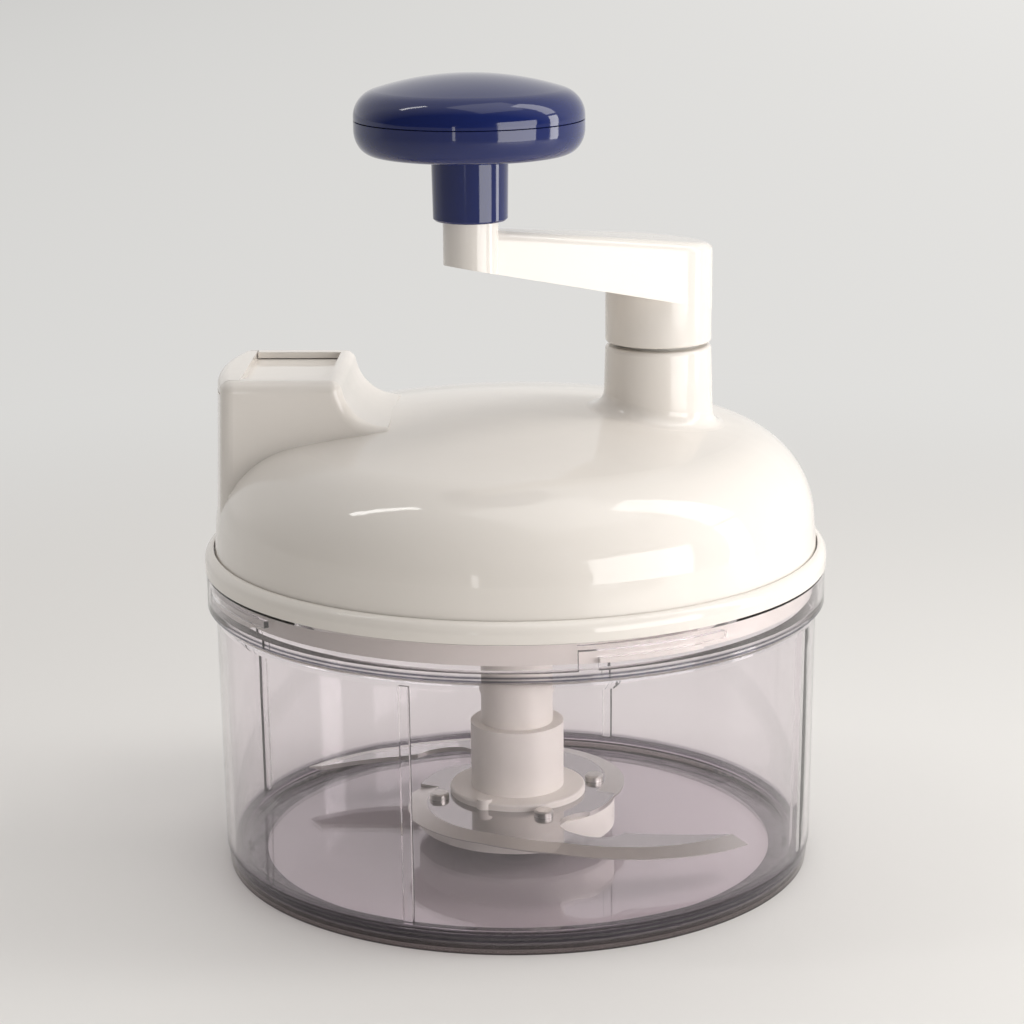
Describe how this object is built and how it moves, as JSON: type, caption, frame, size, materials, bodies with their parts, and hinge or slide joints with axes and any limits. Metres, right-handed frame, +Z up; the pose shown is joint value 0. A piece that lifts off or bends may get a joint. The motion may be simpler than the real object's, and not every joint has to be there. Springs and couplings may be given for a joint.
{
  "type": "hand cranked food chopper",
  "caption": "Hand cranked food chopper: clear round bowl, geared domed lid with a filling chute, crank with a turning knob, and an S-shaped blade on a spindle.",
  "frame": {"origin": "middle of the foot ring, on the surface that the chopper stands on", "axes": "+Z up along the bowl's axis, +X from the bowl's axis to the crank's axis, the chute at -X, the front at -Y"},
  "size_m": [0.17, 0.17, 0.2191],
  "materials": {
    "bowl_clear": "clear smoke-tinted moulded plastic, polished",
    "ring_smoke": "soft satin",
    "lid_white": "gloss moulded plastic",
    "hub_white": "satin moulded plastic",
    "knob_blue": "gloss moulded plastic",
    "gear_plastic": "acetal, satin",
    "bush_plastic": "acetal, satin",
    "blade_steel": "polished flats with a ground bevel",
    "steel": "turned and polished"
  },
  "bodies": {
    "bowl_body": {"bowl": "bowl_clear", "base_ring": "ring_smoke", "pivot_pin": "steel"},
    "lid": {"lid_base": "lid_white", "lid_dome": "lid_white", "crank_bush": "bush_plastic", "drive_bush": "bush_plastic", "lid_screws": "steel"},
    "cover": {"chute_cover": "lid_white"},
    "crank": {"crank_arm": "lid_white", "drive_shaft": "steel", "drive_gear": "gear_plastic", "thrust_washer": "bush_plastic", "gear_washer": "steel", "gear_screw": "steel", "knob_washer": "steel", "knob_screw": "steel"},
    "knob": {"knob_body": "knob_blue", "knob_cap": "knob_blue"},
    "rotor": {"pinion": "gear_plastic", "spindle_tube": "hub_white", "blade_carrier": "hub_white", "blade": "blade_steel", "hub_puck": "hub_white", "blade_rivets": "steel"}
  },
  "joints": [
    {"name": "lid_twist", "type": "hinge", "parent": "bowl_body", "child": "lid", "pos_m": [0, 0, 0.08366], "axis": [0, 0, 1], "range_deg": [0, 26]},
    {"name": "crank_turn", "type": "hinge", "parent": "lid", "child": "crank", "pos_m": [0.039, 0, 0.15], "axis": [0, 0, 1], "continuous": true},
    {"name": "blade_spin", "type": "hinge", "parent": "lid", "child": "rotor", "pos_m": [0, 0, 0.09], "axis": [0, 0, 1], "continuous": true},
    {"name": "knob_spin", "type": "hinge", "parent": "crank", "child": "knob", "pos_m": [-0.00924, -0.04005, 0.19], "axis": [0, 0, 1], "continuous": true},
    {"name": "cover_slide", "type": "slide", "parent": "lid", "child": "cover", "axis": [-1, 0, 0], "range_m": [0, 0.02]}
  ],
  "couplings": [
    {"joint": "blade_spin", "follows": "crank_turn", "ratio": -2.25}
  ]
}
